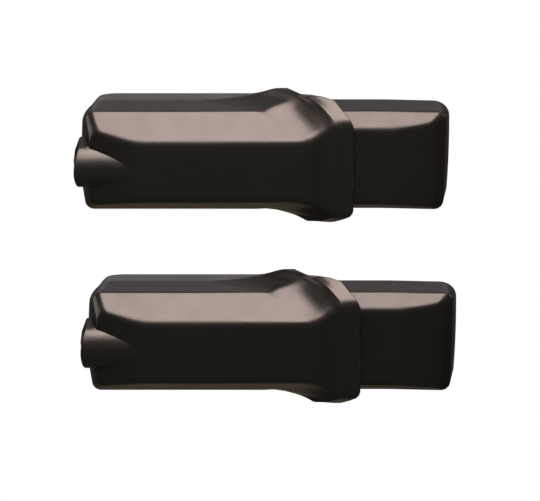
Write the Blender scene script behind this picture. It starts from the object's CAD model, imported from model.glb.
"""Two blade guards, a and b. Each is a toe shell and a heel shell joined by a coil spring.

X runs along a guard, toe towards +X and heel towards -X, Y across it and Z up. The soles are
near z = 0 and the shells are open at the top. Parts are modelled in mm about y = 0, built in
metres and then moved to each guard's place. Floor, lights and camera are in metres.
"""
import math

import bmesh
import bpy
import numpy as np
from mathutils import Matrix, Vector


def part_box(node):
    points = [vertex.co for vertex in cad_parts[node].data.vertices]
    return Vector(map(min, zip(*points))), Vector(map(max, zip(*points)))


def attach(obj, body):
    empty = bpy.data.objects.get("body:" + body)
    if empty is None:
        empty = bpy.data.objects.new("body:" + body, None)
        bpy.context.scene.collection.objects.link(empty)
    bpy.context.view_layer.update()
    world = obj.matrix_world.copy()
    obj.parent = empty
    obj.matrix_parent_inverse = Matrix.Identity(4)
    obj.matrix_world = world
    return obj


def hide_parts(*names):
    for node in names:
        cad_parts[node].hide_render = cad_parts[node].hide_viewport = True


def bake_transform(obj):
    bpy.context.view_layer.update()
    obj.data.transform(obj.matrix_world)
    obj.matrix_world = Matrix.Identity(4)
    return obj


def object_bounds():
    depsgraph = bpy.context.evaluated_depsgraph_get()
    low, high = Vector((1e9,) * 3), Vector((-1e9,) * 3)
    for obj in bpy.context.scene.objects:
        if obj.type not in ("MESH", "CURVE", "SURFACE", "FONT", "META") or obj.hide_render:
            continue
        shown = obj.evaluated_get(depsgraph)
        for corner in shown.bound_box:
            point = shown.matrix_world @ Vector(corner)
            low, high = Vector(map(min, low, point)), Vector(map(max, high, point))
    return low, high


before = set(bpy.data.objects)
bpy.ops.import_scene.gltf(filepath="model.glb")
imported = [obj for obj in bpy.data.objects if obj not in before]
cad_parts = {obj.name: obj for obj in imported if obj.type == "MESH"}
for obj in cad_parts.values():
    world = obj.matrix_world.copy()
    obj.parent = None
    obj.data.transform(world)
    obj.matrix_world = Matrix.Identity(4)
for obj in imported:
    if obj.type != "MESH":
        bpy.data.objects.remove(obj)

CAD_BOX = [list(corner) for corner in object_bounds()]
MM = 0.001


# ---------------------------------------------------------------- curves
def curve(knots):
    """Monotone cubic through (x, y) knots, held level beyond both ends."""
    table = np.array(sorted(knots), float)
    x, y = table[:, 0], table[:, 1]
    step = np.diff(x)
    rise = np.diff(y) / np.diff(x)
    slope = np.zeros(len(x))
    slope[0], slope[-1] = rise[0], rise[-1]
    for i in range(1, len(x) - 1):
        if rise[i - 1] * rise[i] > 0:
            before = 2 * step[i] + step[i - 1]
            after = step[i] + 2 * step[i - 1]
            slope[i] = (before + after) / (before / rise[i - 1] + after / rise[i])

    def value(at):
        at = min(max(at, x[0]), x[-1])
        i = min(max(int(np.searchsorted(x, at)) - 1, 0), len(step) - 1)
        t = (at - x[i]) / step[i]
        return float(
            y[i] * (1 + 2 * t) * (1 - t) ** 2 + slope[i] * step[i] * t * (1 - t) ** 2
            + y[i + 1] * t * t * (3 - 2 * t) + slope[i + 1] * step[i] * t * t * (t - 1))
    return value


def line_curves(rows):
    """Half width and height of a character line against x, from (x, half width, height)."""
    return curve([row[:2] for row in rows]), curve([(row[0], row[2]) for row in rows])


def mix(a, b, t):
    return a + (b - a) * t


def ease(start, end, x):
    t = min(1.0, max(0.0, (x - start) / (end - start)))
    return t * t * (3 - 2 * t)


def steps(start, count):
    """Even steps over one unit, without the start itself."""
    return [start + i / count for i in range(1, count + 1)]


def rounded(corners, trims, pieces):
    """A polyline whose inner corners are replaced by quadratic curves. trims are the lengths cut
    at the inner corners, pieces the (straight, curved) segment counts of each run."""
    points = [np.array(p, float) for p in corners]
    out = [points[0]]
    for i, (straight, bend) in enumerate(pieces, 1):
        start, corner = out[-1], points[i]
        end = corner
        inner = i < len(points) - 1
        if inner:
            run = np.linalg.norm(corner - points[i - 1])
            ahead = np.linalg.norm(points[i + 1] - corner)
            cut = min(trims[i - 1], run * 0.49, ahead * 0.49)
            end = corner + (points[i - 1] - corner) / max(run, 1e-9) * cut
        out += [start + (end - start) * k / straight for k in range(1, straight + 1)]
        if inner:
            far = corner + (points[i + 1] - corner) / max(ahead, 1e-9) * cut
            for t in steps(0, bend):
                out.append(end * (1 - t) ** 2 + 2 * corner * t * (1 - t) + far * t * t)
    return out


# ---------------------------------------------------------------- closed ends of the shells
END_BULGE = 0.5
END_STEPS = [0.15, 0.3, 0.45, 0.6, 0.75, 0.88, 1.0]


def round_end(t, corner_x, radius, heading, section):
    """A point of a shell's end: t goes 0 to 1 round the corner, then 1 to 2 across the end face
    to the centre. heading is 1 towards +X, -1 towards -X; section gives (y, z) at x."""
    angle = min(t, 1.0) * math.pi / 2
    x = corner_x + heading * radius * math.sin(angle)
    y, z = section(x)
    y -= radius * (1 - math.cos(angle))
    k = min(1.0, 2.0 - t)
    return (x + heading * END_BULGE * (1 - k * k), y * k, z)


# ---------------------------------------------------------------- toe shell, outside
# Five lines run along the shell. Lists per line are in this order.
SOLE_EDGE, MID_BEVEL, BEVEL_TOP, SIDE_TOP, RIM = range(5)

SOLE_HALF, BODY_HALF = 25.4, 42.3
BEVEL_Z = 18.1
RIM_INSET = 1.8
TOE_WALL = 3.0
RISE_SPREAD = 0.94  # how much the sole edge moves out per mm it rises

# x of each line at the open mouth, at the crest and where the plain body starts
MOUTH_X = [-69.3, -61.8, -55.4, -47.5, -39.0]
CREST_X = [-56.2, -44.9, -34.4, -19.4, -10.0]
PLAIN_X = [-30.0, -13.5, 3.0, 44.0, 44.0]
BODY_MID_X = 60.0

# mouth to crest, per line: (x, half width, height)
BAND = [line_curves(rows) for rows in (
    [(-69.3, 40.3, 4.1), (-64, 40.3, 4.05), (-60, 40.35, 3.8), (-56.2, 40.25, 3.25)],
    [(-61.8, 46.9, 9.9), (-53, 48.7, 12.0), (-44.9, 50.3, 13.5)],
    [(-55.4, 52.5, 16.4), (-50, 53.8, 18.2), (-45, 54.3, 19.8), (-38.5, 54.5, 21.0),
     (-34.4, 53.8, 20.0)],
    [(-47.5, 44.9, 35.4), (-39, 45.9, 35.4), (-30, 46.3, 35.4), (-22.6, 46.7, 35.4),
     (-20.6, 49.6, 35.4), (-19.4, 52.8, 35.4)],
    [(-39, 39.0, 48.5), (-30, 39.8, 48.5), (-20, 40.4, 48.5), (-10, 40.5, 48.5)],
)]
# crest to plain body, per line: (x, half width, height)
SWEEP = [line_curves(rows) for rows in (
    [(-56.2, 40.25, 3.25), (-54, 38.4, 3.3), (-52, 36.67, 3.25), (-45.7, 32.2, 2.4),
     (-37.5, 27.5, 0.65), (-32.9, 25.9, 0.15), (-28, 25.4, 0), (-20, 25.4, 0)],
    [(-44.9, 50.3, 13.5), (-41.8, 48.25, 13.75), (-38.5, 45.8, 13.65), (-35.5, 43.46, 13.48),
     (-32.5, 41.24, 13.38), (-29.5, 39.28, 12.98), (-26.7, 37.69, 12.24), (-19.8, 34.8, 9.91),
     (-13.5, 33.85, 9.05), (0, 33.85, 9.05)],
    [(-34.4, 53.8, 20.0), (-31.2, 52.25, 22.5), (-29, 51.1, 23.7), (-27, 50.2, 24.1),
     (-23.2, 48.8, 23.9), (-12.7, 45.6, 22.0), (-2.6, 43.0, 19.6), (3, 42.3, 18.1),
     (15, 42.3, 18.1)],
    [(-19.4, 52.8, 35.4), (-11.8, 52.6, 35.4), (-6.7, 51.4, 35.4), (-1.7, 49.65, 35.4),
     (3.1, 47.9, 35.4), (12.9, 45.8, 35.4), (23.3, 44.1, 35.4), (34.5, 42.8, 35.4),
     (44, 42.3, 35.4)],
    [(-10, 40.5, 48.5), (44, 40.5, 48.5)],
)]
# heights against x towards the toe end: (x, z)
toe_rise = curve([(80, 0), (88, 0), (92, 0.12), (96, 0.5), (105.8, 2.25), (113.3, 4.0),
                  (120.8, 5.8), (126, 7.3), (129.2, 8.3)])
rim_height = curve([(100, 48.5), (108, 48.5), (112, 48.2), (116, 47.4), (120.8, 45.5),
                    (123.8, 41.3), (126.8, 36.8), (130, 34.5), (134, 32.9)])
side_height = curve([(105, 35.4), (112, 35.4), (119, 35.1), (123, 34.0), (126.8, 32.5),
                     (130.8, 31.0), (134.7, 29.5)])

TOE_END_X = [128.6, 130.6, 131.9, 134.2, 133.5]
TOE_RADIUS = [9.0, 7.5, 7.0, 16.0, 16.0]
TOE_CORNER_X = [end - radius for end, radius in zip(TOE_END_X, TOE_RADIUS)]

# station parameter: 0 mouth, 1 crest, 2 plain body, 3 its middle, 4 corner, 5 end face, 6 centre
TOE_STATIONS = (
    [0.0, 0.012, 0.03, 0.045] + [round(0.1 * i, 3) for i in range(1, 9)]
    + [0.86, 0.9, 0.925, 0.95, 0.97, 0.985, 0.994, 1.0, 1.006, 1.015, 1.03, 1.05]
    + [round(1.05 + 0.95 * (i / 40), 4) for i in range(1, 41)]
    + steps(2, 16) + steps(3, 18) + steps(4, 14) + [5 + v for v in END_STEPS])


def midway(section, x):
    """Middle of the bevel: halfway between the sole edge and the bevel top."""
    (low_y, low_z), (high_y, high_z) = section(SOLE_EDGE, x), section(BEVEL_TOP, x)
    return (low_y + high_y) / 2, (low_z + high_z) / 2


def toe_body(line, x):
    """Outside (y, z) of the plain body."""
    if line == SOLE_EDGE:
        return SOLE_HALF + RISE_SPREAD * toe_rise(x), toe_rise(x)
    if line == MID_BEVEL:
        return midway(toe_body, x)
    if line == BEVEL_TOP:
        return BODY_HALF, BEVEL_Z
    if line == SIDE_TOP:
        return BODY_HALF, side_height(x)
    return BODY_HALF - RIM_INSET, rim_height(x)


def toe_outer(line, s):
    if s > 4:
        return round_end(s - 4, TOE_CORNER_X[line], TOE_RADIUS[line], 1,
                         lambda x: toe_body(line, x))
    if s <= 2:
        if s <= 1:
            x, (width, height) = mix(MOUTH_X[line], CREST_X[line], s), BAND[line]
        else:
            x, (width, height) = mix(CREST_X[line], PLAIN_X[line], s - 1), SWEEP[line]
        return (x, width(x), height(x))
    if s <= 3:
        x = mix(PLAIN_X[line], BODY_MID_X, s - 2)
    else:
        x = mix(BODY_MID_X, TOE_CORNER_X[line], 1 - (1 - (s - 3)) ** 1.25)
    return (x, *toe_body(line, x))


# ---------------------------------------------------------------- toe shell, inside
FLOOR_HALF = SOLE_HALF - 1.24
WIDE_FROM_X, WIDE_TO_X = -22, -8  # the wide part by the mouth narrows between these


def toe_cavity(line, x):
    """Inside (y, z), changing from the wide part by the mouth to the body's wall."""
    if line == MID_BEVEL:
        return midway(toe_cavity, x)
    wide = 1 - ease(WIDE_FROM_X, WIDE_TO_X, x)
    rise = toe_rise(x)
    if line == SOLE_EDGE:
        return (mix(FLOOR_HALF + RISE_SPREAD * rise, 32.7, wide),
                mix(TOE_WALL + rise, 8.5, wide))
    if line == RIM:
        return BODY_HALF - RIM_INSET - mix(TOE_WALL, 2.4, wide), rim_height(x)
    y = mix(BODY_HALF - TOE_WALL, 42.65, wide)
    if line == BEVEL_TOP:
        return y, mix(BEVEL_Z + 1.2, 18.6, wide)
    return y, mix(side_height(x), 37.5, wide)


def toe_inner(line, s):
    if s <= 4:
        x = toe_outer(line, s)[0]
        return (x, *toe_cavity(line, x))
    return round_end(s - 4, TOE_CORNER_X[line], TOE_RADIUS[line] - TOE_WALL, 1,
                     lambda x: toe_cavity(line, x))


# ---------------------------------------------------------------- heel shell
# Lists per line are in the order sole edge, bevel top, side top, rim.
heel_rise = curve([(-150, 0), (90, 0), (98, 0.1), (104, 0.7), (111, 1.5), (118.4, 2.5),
                   (124, 3.5), (130, 4.8), (134, 5.8)])  # (distance towards -X, z)
HEEL_MOUTH_X = -25.5
HEEL_END_X = [-130.8, -137.6, -140.2, -140.2]
HEEL_RADIUS = [6.5, 6.5, 12.5, 13.0]
HEEL_WALL = 2.5
# station parameter: 0 mouth, 1 corner, 2 end face, 3 centre
HEEL_STATIONS = [0.0] + steps(0, 24) + steps(1, 16) + [2 + v for v in END_STEPS]


def heel_section(line, x, inset):
    rise = heel_rise(-x)
    y = 32.2 + 0.95 * rise - 0.4 * inset if line == 0 else 42.15 - inset
    return y, (9 + rise + inset, 19.1 + 0.4 * inset, 33.0, 36.5)[line]


def heel_point(line, s, inset=0):
    """A point of the heel skin, moved inwards by inset."""
    radius = HEEL_RADIUS[line] - inset
    corner_x = HEEL_END_X[line] + inset + radius
    if s <= 1:
        x = mix(HEEL_MOUTH_X, corner_x, s)
        return (x, *heel_section(line, x, inset))
    return round_end(s - 1, corner_x, radius, -1, lambda x: heel_section(line, x, inset))


def heel_askew(point):
    """The heel end stands a little askew."""
    x, y, z = point
    amount = ease(84, 136, -x)
    return np.array((x - 0.032 * y * amount, y - 1.0 * amount, z))


# ---------------------------------------------------------------- mesh building
def link_mesh(name, body):
    mesh = bpy.data.meshes.new(name)
    body.to_mesh(mesh)
    body.free()
    obj = bpy.data.objects.new(name, mesh)
    bpy.context.scene.collection.objects.link(obj)
    return obj


def solid(name, builder):
    body = bmesh.new()
    builder(body)
    bmesh.ops.recalc_face_normals(body, faces=body.faces)
    return link_mesh(name, body)


def add_points(body, points):
    return [body.verts.new(Vector(p) * MM) for p in points]


# chamfer of the mouth: how far the first rings are drawn towards the inside, mm
MOUTH_CHAMFER = (0.5, 0.3, 0.1)
# rows between outer and inner rim: (fraction of the way inwards, lift)
LIP_ROWS = ((0.12, 0.014), (0.3, 0.02), (0.7, 0.02), (0.88, 0.014))


def add_tub(body, stations, outer, inner, outer_trims, inner_trims, pieces, warp=None):
    """A closed thin-walled tub. outer and inner give a point for (line, station); outer_trims
    gives corner cuts for a station. Cuts and pieces run from the rim down to the centre."""
    def ring(point_at, s, trims):
        corners = [point_at(line, s) for line in reversed(range(len(pieces)))]
        corners.append((corners[-1][0], 0.0, corners[-1][2]))
        half = rounded(corners, trims, pieces)
        full = half + [p * np.array((1, -1, 1)) for p in half[-2::-1]]
        return [warp(p) for p in full] if warp else full

    outside = [ring(outer, s, outer_trims(s)) for s in stations]
    inside = [ring(inner, s, inner_trims) for s in stations]
    for k, cut in enumerate(MOUTH_CHAMFER):
        gaps = [q - p for p, q in zip(outside[k], inside[k])]
        outside[k] = [p + gap * np.array((0, 1, 1)) * cut / max(np.linalg.norm(gap[1:]), 1.0)
                      for p, gap in zip(outside[k], gaps)]
    length, around = len(outside), len(outside[0])
    out = [add_points(body, points) for points in outside]
    ins = [add_points(body, points) for points in inside]
    face = body.faces.new

    for i in range(length - 1):
        for j in range(around - 1):
            face((out[i][j], out[i][j + 1], out[i + 1][j + 1], out[i + 1][j]))
            face((ins[i][j], ins[i + 1][j], ins[i + 1][j + 1], ins[i][j + 1]))
    lip_ends = []
    for side in (0, around - 1):
        rows = [[points[side] for points in out]]
        for f, lift in LIP_ROWS:
            rows.append(add_points(body, [
                p[side] * (1 - f) + q[side] * f + np.array((0, 0, lift))
                for p, q in zip(outside, inside)]))
        rows.append([points[side] for points in ins])
        for a, b in zip(rows, rows[1:]):
            for i in range(length - 1):
                if side == 0:
                    face((a[i], a[i + 1], b[i + 1], b[i]))
                else:
                    face((a[i], b[i], b[i + 1], a[i + 1]))
        lip_ends.append([row[0] for row in rows])
    # the mouth, closed between the outer and inner ring
    for j in range(around - 1):
        face((out[0][j], ins[0][j], ins[0][j + 1], out[0][j + 1]))
    face(lip_ends[0][::-1])
    face(lip_ends[1])
    bmesh.ops.remove_doubles(body, verts=body.verts, dist=2e-6)
    bmesh.ops.dissolve_degenerate(body, dist=1e-7, edges=body.edges)


def skin_rings(body, rings):
    """Skins closed rings of points and caps both ends."""
    grid = [add_points(body, ring) for ring in rings]
    count = len(grid[0])
    for a, b in zip(grid, grid[1:]):
        for j in range(count):
            k = (j + 1) % count
            body.faces.new((a[j], a[k], b[k], b[j]))
    body.faces.new(grid[0][::-1])
    body.faces.new(grid[-1])


def add_block(body, x, y, z, radius=0.4):
    """A block with rounded vertical and top edges. x, y and z are (low, high)."""
    pieces = 3
    corners = ((x[1] - radius, y[1] - radius, 0), (x[0] + radius, y[1] - radius, 90),
               (x[0] + radius, y[0] + radius, 180), (x[1] - radius, y[0] + radius, 270))

    def outline(inset, height):
        points = []
        for corner_x, corner_y, start in corners:
            for k in range(pieces + 1):
                a = math.radians(start + 90 * k / pieces)
                points.append((corner_x + (radius - inset) * math.cos(a),
                               corner_y + (radius - inset) * math.sin(a), height))
        return points

    rings = [outline(0, z[0]), outline(0, z[1] - radius)]
    for k in range(1, pieces + 1):
        a = math.radians(90 * k / pieces)
        rings.append(outline(radius * (1 - math.cos(a)) * 0.9,
                             z[1] - radius + radius * math.sin(a)))
    skin_rings(body, rings)


def add_turned(body, center_x, center_y, profile, sides=40):
    """An upright turned solid from (radius, height) pairs."""
    turns = [2 * math.pi * k / sides for k in range(sides)]
    skin_rings(body, [[(center_x + radius * math.cos(a), center_y + radius * math.sin(a), height)
                       for a in turns] for radius, height in profile])


def union(obj, other, use_self=False):
    """Joins other into obj and removes other."""
    modifier = obj.modifiers.new("union", "BOOLEAN")
    modifier.operation = "UNION"
    modifier.solver = "EXACT"
    modifier.object = other
    modifier.use_self = use_self
    bpy.context.view_layer.update()
    graph = bpy.context.evaluated_depsgraph_get()
    mesh = bpy.data.meshes.new_from_object(obj.evaluated_get(graph))
    mesh.name = obj.name
    obj.modifiers.clear()
    old = obj.data
    obj.data = mesh
    bpy.data.meshes.remove(old)
    bpy.data.objects.remove(other)


# ---------------------------------------------------------------- nose of the toe shell
NOSE_HALF = 20.8
NOSE_TIP_X = 140.7
NOSE_BOTTOM_Z, NOSE_TOP_Z = 0.4, 19.0
NOSE_SHIFT_Y = -0.9
NOSE_FILLET = 1.3
# rise above the keel: (half width, rise)
nose_profile = curve([(0.0, 0.0), (3.0, 0.25), (6.0, 1.0), (9.0, 2.15), (12.0, 3.7), (15.0, 5.8),
                      (16.7, 7.9), (18.2, 11.0), (19.6, 14.6), (20.8, 18.6)])
NOSE_X = (91.0, 98.0, 104.5, 111.0, 118.0, 124.0, 130.4, 130.5, 135.3)
BURIED_TO_X = 130.45  # up to here the nose stays inside the floor's thickness


def nose_section(x, shrink):
    depth = NOSE_TOP_Z - NOSE_BOTTOM_Z
    scale = (NOSE_HALF - shrink) / NOSE_HALF
    widths = [NOSE_HALF * (1 - (1 - j / 26) ** 1.35) for j in range(27)]
    side = [(y * scale, NOSE_BOTTOM_Z + 0.5 * shrink
             + nose_profile(y) * (depth - 1.5 * shrink) / depth) for y in widths]
    top = side[-1][1] + 0.02
    loop = side[::-1] + [(-y, z) for y, z in side[1:]]
    loop += [(NOSE_HALF * scale * k, top) for k in (-0.5, 0.0, 0.5)]
    if x < BURIED_TO_X:
        cap = toe_rise(x) + 1.5
        return [(x, y + NOSE_SHIFT_Y, min(z, cap + 0.002 * i)) for i, (y, z) in enumerate(loop)]
    bow = 0.0105 if x > 131 else 0.0
    return [(x - bow * y * y, y + NOSE_SHIFT_Y, z) for y, z in loop]


def add_nose(body):
    """Keeled bumper: sections across the guard, from inside the body to the tip."""
    rings = [nose_section(x, 0.0) for x in NOSE_X]
    for k in range(7):
        a = math.radians(90 * k / 6)
        rings.append(nose_section(NOSE_TIP_X - NOSE_FILLET + NOSE_FILLET * math.sin(a),
                                  NOSE_FILLET * (1 - math.cos(a))))
    skin_rings(body, rings)


# ---------------------------------------------------------------- ribs, blocks and posts inside
PIN_X = 30.0  # spring pins stand at +PIN_X in the toe and -PIN_X in the heel
POST_Y = 18.5


def add_side_block(body, side, x, y, z):
    """A block beside the centre line, on the +Y (side 1) or -Y (side -1) half."""
    add_block(body, x, sorted((side * y[0], side * y[1])), z, 0.5)


def add_pin_block(body, side, pin_x, bottom):
    add_side_block(body, side, (pin_x - 4.5, pin_x + 4.5), (4.2, 7.0), (bottom, 19.0))


def add_posts(body, x, foot, waist):
    """A pair of round posts at x, widening below the height waist to the height foot."""
    for side in (-1, 1):
        add_turned(body, x, side * POST_Y, [(4.6, foot), (4.2, waist), (4.2, 19.1), (3.8, 19.5)])


def add_toe_inside(body):
    for side in (-1, 1):
        add_side_block(body, side, (-18, 94), (6.0, 9.0), (1.6, 8.8))
        add_side_block(body, side, (-18, 26), (11.6, 13.6), (1.6, 12.5))
        add_pin_block(body, side, PIN_X, bottom=1.6)
    add_block(body, (15.5, 18), (-12, 12), (1.7, 11))
    for x in (-18, 46, 70, 91):
        add_block(body, (x - 0.03, x + 2.97), (-22, 22), (1.8, 6))
    for x in (-8, 46, 100):
        add_posts(body, x, foot=1.5 + toe_rise(x), waist=6.5)


def add_heel_inside(body):
    add_block(body, (-62, 15), (-11, 11), (9.1, 11.5), 0.5)
    for side in (-1, 1):
        add_pin_block(body, side, -PIN_X, bottom=10.5)
    for x in (-54, -112):
        add_posts(body, x, foot=10.0 + heel_rise(-x), waist=13.8)


# ---------------------------------------------------------------- spring
SPRING_Z = 15.6
COIL_DIAMETER = 6.0
WIRE_DIAMETER = 1.0
COIL_TURNS, STEPS_PER_TURN, WIRE_SIDES = 24, 22, 10
PIN_RADIUS, PIN_GAP = 1.5, 0.15
LOOP_TO_COIL = 1.2


def add_spring(body):
    """Sweeps the wire along a loop round the heel pin, the coil and a loop round the toe pin."""
    coil_radius = (COIL_DIAMETER - WIRE_DIAMETER) / 2
    loop_radius = PIN_RADIUS + PIN_GAP + WIRE_DIAMETER / 2
    start_x = -PIN_X + loop_radius + LOOP_TO_COIL
    end_x = PIN_X - loop_radius - LOOP_TO_COIL

    def loop(pin_x, degrees):
        return [(pin_x + loop_radius * math.cos(math.radians(a)), 0,
                 SPRING_Z + loop_radius * math.sin(math.radians(a))) for a in degrees]

    path = loop(-PIN_X, range(-40, -301, -13))
    count = COIL_TURNS * STEPS_PER_TURN
    for i in range(count + 1):
        a = math.radians(90 + i * 360 / STEPS_PER_TURN)
        path.append((mix(start_x, end_x, i / count), coil_radius * math.cos(a),
                     SPRING_Z + coil_radius * math.sin(a)))
    path += loop(PIN_X, range(120, -141, -13))
    path = [np.array(p, float) for p in path]

    across = np.array((0.0, 1.0, 0.0))
    rings = []
    for i, point in enumerate(path):
        along = path[min(i + 1, len(path) - 1)] - path[max(i - 1, 0)]
        along /= np.linalg.norm(along)
        across = across - along * across.dot(along)
        across /= np.linalg.norm(across)
        normal = np.cross(along, across)
        turns = [2 * math.pi * k / WIRE_SIDES for k in range(WIRE_SIDES)]
        rings.append([point + WIRE_DIAMETER / 2 * (across * math.cos(a) + normal * math.sin(a))
                      for a in turns])
    skin_rings(body, rings)


# ---------------------------------------------------------------- pieces of one guard
# (straight, curved) segment counts of each run, from the rim down to the centre of the sole
TOE_PIECES = [(5, 3), (9, 4), (5, 3), (5, 6), (9, 0)]
HEEL_PIECES = [(2, 1), (7, 3), (8, 5), (12, 0)]


def toe_trims(s):
    """Corner cuts at the side top, the bevel top, the middle of the bevel and the sole edge."""
    soft = ease(0.95, 1.25, s) * (1 - ease(1.8, 2.05, s))
    return [0.7, 0.9 + 2.4 * soft, 12.0,
            mix(8.5, 4.6, ease(0.96, 1.1, s)) + 0.8 * ease(1.2, 1.7, s)]


def make_toe():
    toe = solid("toe_skin_a", lambda body: add_tub(
        body, TOE_STATIONS, toe_outer, toe_inner, outer_trims=toe_trims,
        inner_trims=[0.5, 0.8, 2.0, 2.5], pieces=TOE_PIECES))
    union(toe, solid("bumper", add_nose))
    union(toe, solid("inside", add_toe_inside), use_self=True)
    return toe


def make_heel():
    heel = solid("heel_skin_a", lambda body: add_tub(
        body, HEEL_STATIONS, heel_point, lambda line, s: heel_point(line, s, HEEL_WALL),
        outer_trims=lambda s: [0.5, 1.0, 4.2], inner_trims=[0.4, 0.8, 1.5],
        pieces=HEEL_PIECES, warp=heel_askew))
    union(heel, solid("inside", add_heel_inside), use_self=True)
    return heel


toe = make_toe()
heel = make_heel()
spring = solid("spring_coil_a", add_spring)


# ---------------------------------------------------------------- shader helpers
def empty_tree(owner):
    owner.use_nodes = True
    owner.node_tree.nodes.clear()
    return owner.node_tree


def add_node(tree, kind, inputs=None, **settings):
    """Adds a node. Inputs given as sockets are linked, other inputs are set."""
    node = tree.nodes.new(kind)
    for key, value in settings.items():
        setattr(node, key, value)
    for key, value in (inputs or {}).items():
        if isinstance(value, bpy.types.NodeSocket):
            tree.links.new(value, node.inputs[key])
        else:
            node.inputs[key].default_value = value
    return node


def map_range(tree, value, low=0.0, high=1.0, from_min=0.0, from_max=1.0):
    return add_node(tree, "ShaderNodeMapRange", {
        "Value": value, "From Min": from_min, "From Max": from_max,
        "To Min": low, "To Max": high}).outputs["Result"]


def mix_color(tree, factor, a, b):
    return add_node(tree, "ShaderNodeMix", {"Factor": factor, "A": a, "B": b},
                    data_type="RGBA").outputs["Result"]


def camera_below(tree):
    """1 where the camera is below the floor, else 0."""
    place = add_node(tree, "ShaderNodeVectorTransform", {0: (0, 0, 0)}, vector_type="POINT",
                     convert_from="CAMERA", convert_to="WORLD")
    xyz = add_node(tree, "ShaderNodeSeparateXYZ", {0: place.outputs[0]})
    return add_node(tree, "ShaderNodeMath", {0: xyz.outputs["Z"], 1: -0.002},
                    operation="LESS_THAN").outputs[0]


# ---------------------------------------------------------------- materials
def surface(name, color, vary, rough, rough_vary, grain, depth, wear_color=None,
            wear_amount=0.0, metallic=0.0, specular=0.5, stretch=(1, 1, 1)):
    """Base colour that drifts slowly by the share vary, roughness with its own pattern, grain
    (noise scale) as bump of a depth in metres, and lighter edges if wear_color is given."""
    material = bpy.data.materials.new(name)
    tree = empty_tree(material)
    coords = add_node(tree, "ShaderNodeTexCoord")
    mapping = add_node(tree, "ShaderNodeMapping",
                       {"Vector": coords.outputs["Object"], "Scale": stretch})

    def noise(scale, detail):
        return add_node(tree, "ShaderNodeTexNoise", {
            "Vector": mapping.outputs["Vector"], "Scale": scale, "Detail": detail,
            "Roughness": 0.55}).outputs[0]

    def spread(value, low, high):
        return map_range(tree, value, low, high, from_min=0.3, from_max=0.7)

    base = mix_color(tree, spread(noise(scale=22, detail=4), 0, 1),
                     (*[c * (1 - vary) for c in color], 1),
                     (*[c * (1 + vary) for c in color], 1))
    if wear_color:
        geometry = add_node(tree, "ShaderNodeNewGeometry")
        edge = map_range(tree, geometry.outputs["Pointiness"], 0, wear_amount,
                         from_min=0.52, from_max=0.62)
        patches = spread(noise(scale=160, detail=4), 0.2, 1)
        wear = add_node(tree, "ShaderNodeMath", {0: edge, 1: patches}, operation="MULTIPLY")
        base = mix_color(tree, wear.outputs[0], base, (*wear_color, 1))
    bump = add_node(tree, "ShaderNodeBump", {
        "Strength": 1.0, "Distance": depth, "Height": noise(scale=grain, detail=2)})
    shader = add_node(tree, "ShaderNodeBsdfPrincipled", {
        "Base Color": base,
        "Roughness": spread(noise(scale=60, detail=5), rough - rough_vary, rough + rough_vary),
        "Metallic": metallic,
        "Specular IOR Level": specular,
        "Normal": bump.outputs["Normal"]})
    add_node(tree, "ShaderNodeOutputMaterial", {0: shader.outputs[0]})
    return material


PLASTIC_GRAIN = dict(vary=0.06, rough_vary=0.03, grain=1300, depth=0.000018,
                     wear_color=(0.05, 0.047, 0.042), wear_amount=0.35)
toe_plastic = surface("satin_black_plastic", color=(0.0038, 0.0039, 0.0030), rough=0.31,
                      specular=0.5, **PLASTIC_GRAIN)
heel_plastic = surface("satin_black_plastic_heel", color=(0.0036, 0.0036, 0.0028), rough=0.33,
                       specular=0.46, **PLASTIC_GRAIN)
rubber = surface("matt_rubber", color=(0.04, 0.041, 0.044), vary=0.12, rough=0.72,
                 rough_vary=0.06, grain=900, depth=0.00006, wear_color=(0.05, 0.05, 0.05),
                 wear_amount=0.5, specular=0.3)
wire = surface("drawn_wire", color=(0.38, 0.38, 0.39), vary=0.08, rough=0.36, rough_vary=0.05,
               grain=1800, depth=0.00002, metallic=1.0)
steel = surface("turned_steel", color=(0.33, 0.33, 0.34), vary=0.1, rough=0.42, rough_vary=0.07,
                grain=1400, depth=0.00003, wear_color=(0.5, 0.5, 0.5), wear_amount=0.4,
                metallic=1.0, stretch=(1, 1, 6))


def paint(obj, material):
    if not obj.material_slots:
        obj.data.materials.append(material)
    for slot in obj.material_slots:
        slot.material = material


def shade(obj, degrees):
    for polygon in obj.data.polygons:
        polygon.use_smooth = True
    obj.data.set_sharp_from_angle(angle=math.radians(degrees))


def copy_of(obj, name):
    mesh = obj.data.copy()
    mesh.name = name
    copy = bpy.data.objects.new(name, mesh)
    bpy.context.scene.collection.objects.link(copy)
    return copy


def move_mesh(obj, dx, dy):
    mesh = obj.data
    points = np.zeros(len(mesh.vertices) * 3, np.float32)
    mesh.vertices.foreach_get("co", points)
    points = points.reshape(-1, 3) + np.array((dx, dy, 0), np.float32)
    mesh.vertices.foreach_set("co", points.ravel())
    mesh.update()


def place_guard(guard, toe, heel, spring):
    low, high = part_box("toe_shell_" + guard)
    dx, dy = high[0] - NOSE_TIP_X * MM, (low[1] + high[1]) / 2
    for obj in (toe, heel, spring):
        move_mesh(obj, dx, dy)
    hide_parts("toe_shell_" + guard)
    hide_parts("heel_shell_" + guard)
    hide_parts("tension_spring_" + guard)
    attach(toe, "toe_halves")
    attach(heel, "heel_" + guard)
    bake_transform(spring)
    for name in ("toe_blade_seat_", "heel_blade_seat_"):
        paint(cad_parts[name + guard], rubber)
    for name in ("toe_spring_pin_", "heel_spring_pin_", "toe_seat_screws_", "heel_seat_screws_"):
        paint(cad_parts[name + guard], steel)


for obj, degrees, material in ((toe, 24, toe_plastic), (heel, 24, heel_plastic),
                               (spring, 80, wire)):
    shade(obj, degrees)
    paint(obj, material)
second = (copy_of(toe, "toe_skin_b"), copy_of(heel, "heel_skin_b"),
          copy_of(spring, "spring_coil_b"))
place_guard("a", toe, heel, spring)
place_guard("b", *second)


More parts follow.
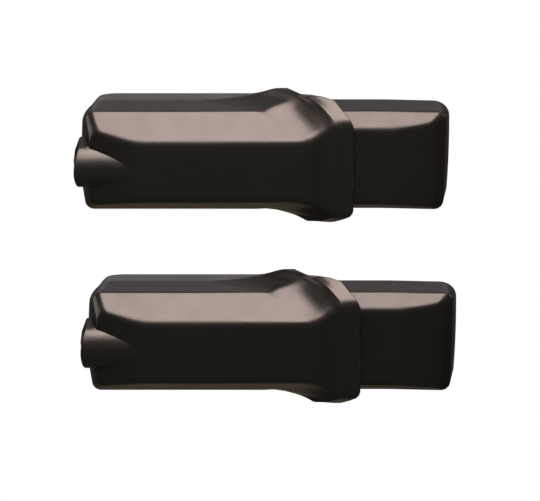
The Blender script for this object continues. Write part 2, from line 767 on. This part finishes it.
# ---------------------------------------------------------------- floor
FLOOR_RADIUS, FLOOR_Z, FLOOR_SIDES = 1.4, -0.0006, 48


def floor_material():
    """Pale floor that is clear for a camera below it, so that the soles can be seen."""
    material = bpy.data.materials.new("pale_floor")
    tree = empty_tree(material)
    noise = add_node(tree, "ShaderNodeTexNoise", {"Scale": 5})
    shader = add_node(tree, "ShaderNodeBsdfPrincipled", {
        "Base Color": map_range(tree, noise.outputs[0], low=0.74, high=0.78),
        "Roughness": 0.7,
        "Specular IOR Level": 0.2})
    clear = add_node(tree, "ShaderNodeBsdfTransparent")
    choice = add_node(tree, "ShaderNodeMixShader", {
        0: camera_below(tree), 1: shader.outputs[0], 2: clear.outputs[0]})
    add_node(tree, "ShaderNodeOutputMaterial", {0: choice.outputs[0]})
    return material


def make_floor():
    body = bmesh.new()
    turns = [k * math.pi / (FLOOR_SIDES // 2) for k in range(FLOOR_SIDES)]
    body.faces.new([body.verts.new((FLOOR_RADIUS * math.cos(a), FLOOR_RADIUS * math.sin(a),
                                    FLOOR_Z)) for a in turns])
    floor = link_mesh("floor", body)
    floor.data.materials.append(floor_material())


make_floor()

# ---------------------------------------------------------------- world
# Gradients over the sphere: an axis and stops of (cosine of the angle from it, colour).
SKY_BELOW = (0, 0.6, 0.8), [  # for a camera below the floor
    (-1.0, (0.10, 0.115, 0.10)), (-0.5, (0.06, 0.06, 0.05)), (-0.1, (0.225, 0.178, 0.12)),
    (0.35, (0.1, 0.09, 0.08)), (0.75, (0.3, 0.28, 0.26)), (0.92, (0.98, 0.93, 0.93)),
    (0.985, (0.58, 0.54, 0.53))]
SKY_ABOVE = (0.25, -0.55, 0.8), [  # for a camera above it
    (-1.0, (0.35, 0.35, 0.35)), (0.2, (0.6, 0.6, 0.6)), (0.65, (1.1, 1.1, 1.1)),
    (0.86, (2.6, 2.6, 2.6)), (1.0, (3.0, 3.0, 3.0))]
SKY_DIFFUSE = (0, 0, 1), [  # for diffuse rays
    (-1.0, (0.4, 0.4, 0.4)), (0.0, (0.8, 0.8, 0.8)), (1.0, (1.05, 1.05, 1.05))]


def make_world():
    """Gradients light the guards, while the camera itself sees plain white."""
    world = bpy.data.worlds.new("studio")
    scene.world = world
    tree = empty_tree(world)
    world.cycles.sampling_method = "NONE"
    direction = add_node(tree, "ShaderNodeTexCoord").outputs["Generated"]

    def sky(axis, stops):
        cosine = add_node(tree, "ShaderNodeVectorMath",
                          {0: direction, 1: Vector(axis).normalized()}, operation="DOT_PRODUCT")
        ramp = add_node(tree, "ShaderNodeValToRGB",
                        {0: map_range(tree, cosine.outputs["Value"], from_min=-1)})
        elements = ramp.color_ramp.elements
        while len(elements) < len(stops):
            elements.new(0.5)
        for element, (position, color) in zip(elements, stops):
            element.position = (position + 1) / 2
            element.color = (*color, 1)
        return ramp.outputs[0]

    # the sky for a camera below darkens towards both ends of the guards
    xyz = add_node(tree, "ShaderNodeSeparateXYZ", {0: direction})
    sideways = add_node(tree, "ShaderNodeMath", {0: xyz.outputs["X"]}, operation="ABSOLUTE")
    dim = map_range(tree, sideways.outputs[0], low=1.0, high=0.3, from_min=0.12, from_max=0.6)
    below = add_node(tree, "ShaderNodeVectorMath", {0: sky(*SKY_BELOW), "Scale": dim},
                     operation="SCALE")
    rays = add_node(tree, "ShaderNodeLightPath")
    seen = mix_color(tree, camera_below(tree), sky(*SKY_ABOVE), below.outputs[0])
    color = mix_color(tree, rays.outputs["Is Diffuse Ray"], seen, sky(*SKY_DIFFUSE))
    soft = add_node(tree, "ShaderNodeBackground", {"Color": color})
    white = add_node(tree, "ShaderNodeBackground", {"Color": (1, 1, 1, 1)})
    choice = add_node(tree, "ShaderNodeMixShader", {
        0: rays.outputs["Is Camera Ray"], 1: soft.outputs[0], 2: white.outputs[0]})
    add_node(tree, "ShaderNodeOutputWorld", {0: choice.outputs[0]})


scene = bpy.context.scene
scene.view_settings.view_transform = "Standard"
scene.view_settings.look = "None"
make_world()

# ---------------------------------------------------------------- lights
LIGHT_AIM = (0, 0, 0.02)


def softbox(name, direction, distance, size, radiance, color):
    """An area light given by its radiance, facing the guards from direction."""
    toward = Vector(direction).normalized()
    light = bpy.data.lights.new(name, "AREA")
    light.shape = "RECTANGLE"
    light.size, light.size_y = size
    light.color = color
    light.energy = radiance * math.pi * size[0] * size[1]
    obj = bpy.data.objects.new(name, light)
    scene.collection.objects.link(obj)
    obj.location = Vector(LIGHT_AIM) + toward * distance
    obj.rotation_mode = "QUATERNION"
    obj.rotation_quaternion = (-toward).to_track_quat("-Z", "Y")
    obj.visible_camera = False


softbox("key", direction=(-0.036, 0.829, -0.559), distance=0.9, size=(0.673, 0.88),
        radiance=12.2, color=(1.0, 0.80, 0.725))
softbox("toe_fill", direction=(0.98, 0.02, -0.1), distance=1.8, size=(1.45, 1.45),
        radiance=2.6, color=(1.0, 0.86, 0.78))
softbox("heel_fill", direction=(-0.95, 0.3, 0.1), distance=1.8, size=(1.3, 1.3),
        radiance=2.0, color=(1.0, 0.9, 0.84))

# ---------------------------------------------------------------- camera
VIEW_WIDTH = 0.405
CAMERA_DISTANCE = 1.2
AIM_SHIFT_X, AIM_SHIFT_Y = -0.00408, 0.01062  # from the middle of the CAD box


def make_camera():
    """Looks up at the soles from below, tilted 30 degrees towards +Y."""
    camera = bpy.data.objects.new("camera", bpy.data.cameras.new("camera"))
    scene.collection.objects.link(camera)
    camera.data.type = "ORTHO"
    camera.data.ortho_scale = VIEW_WIDTH
    camera.data.clip_start, camera.data.clip_end = 0.05, 10
    middle = [(a + b) / 2 for a, b in zip(*CAD_BOX)]
    right = Vector((-1, 0, 0))
    up = Vector((0, math.sqrt(0.75), 0.5))
    back = Vector((0, 0.5, -math.sqrt(0.75)))
    aim = Vector((middle[0] + AIM_SHIFT_X, middle[1] + AIM_SHIFT_Y, 0.0))
    camera.location = aim + back * CAMERA_DISTANCE
    camera.rotation_mode = "QUATERNION"
    camera.rotation_quaternion = Matrix((right, up, back)).transposed().to_quaternion()
    scene.camera = camera


make_camera()
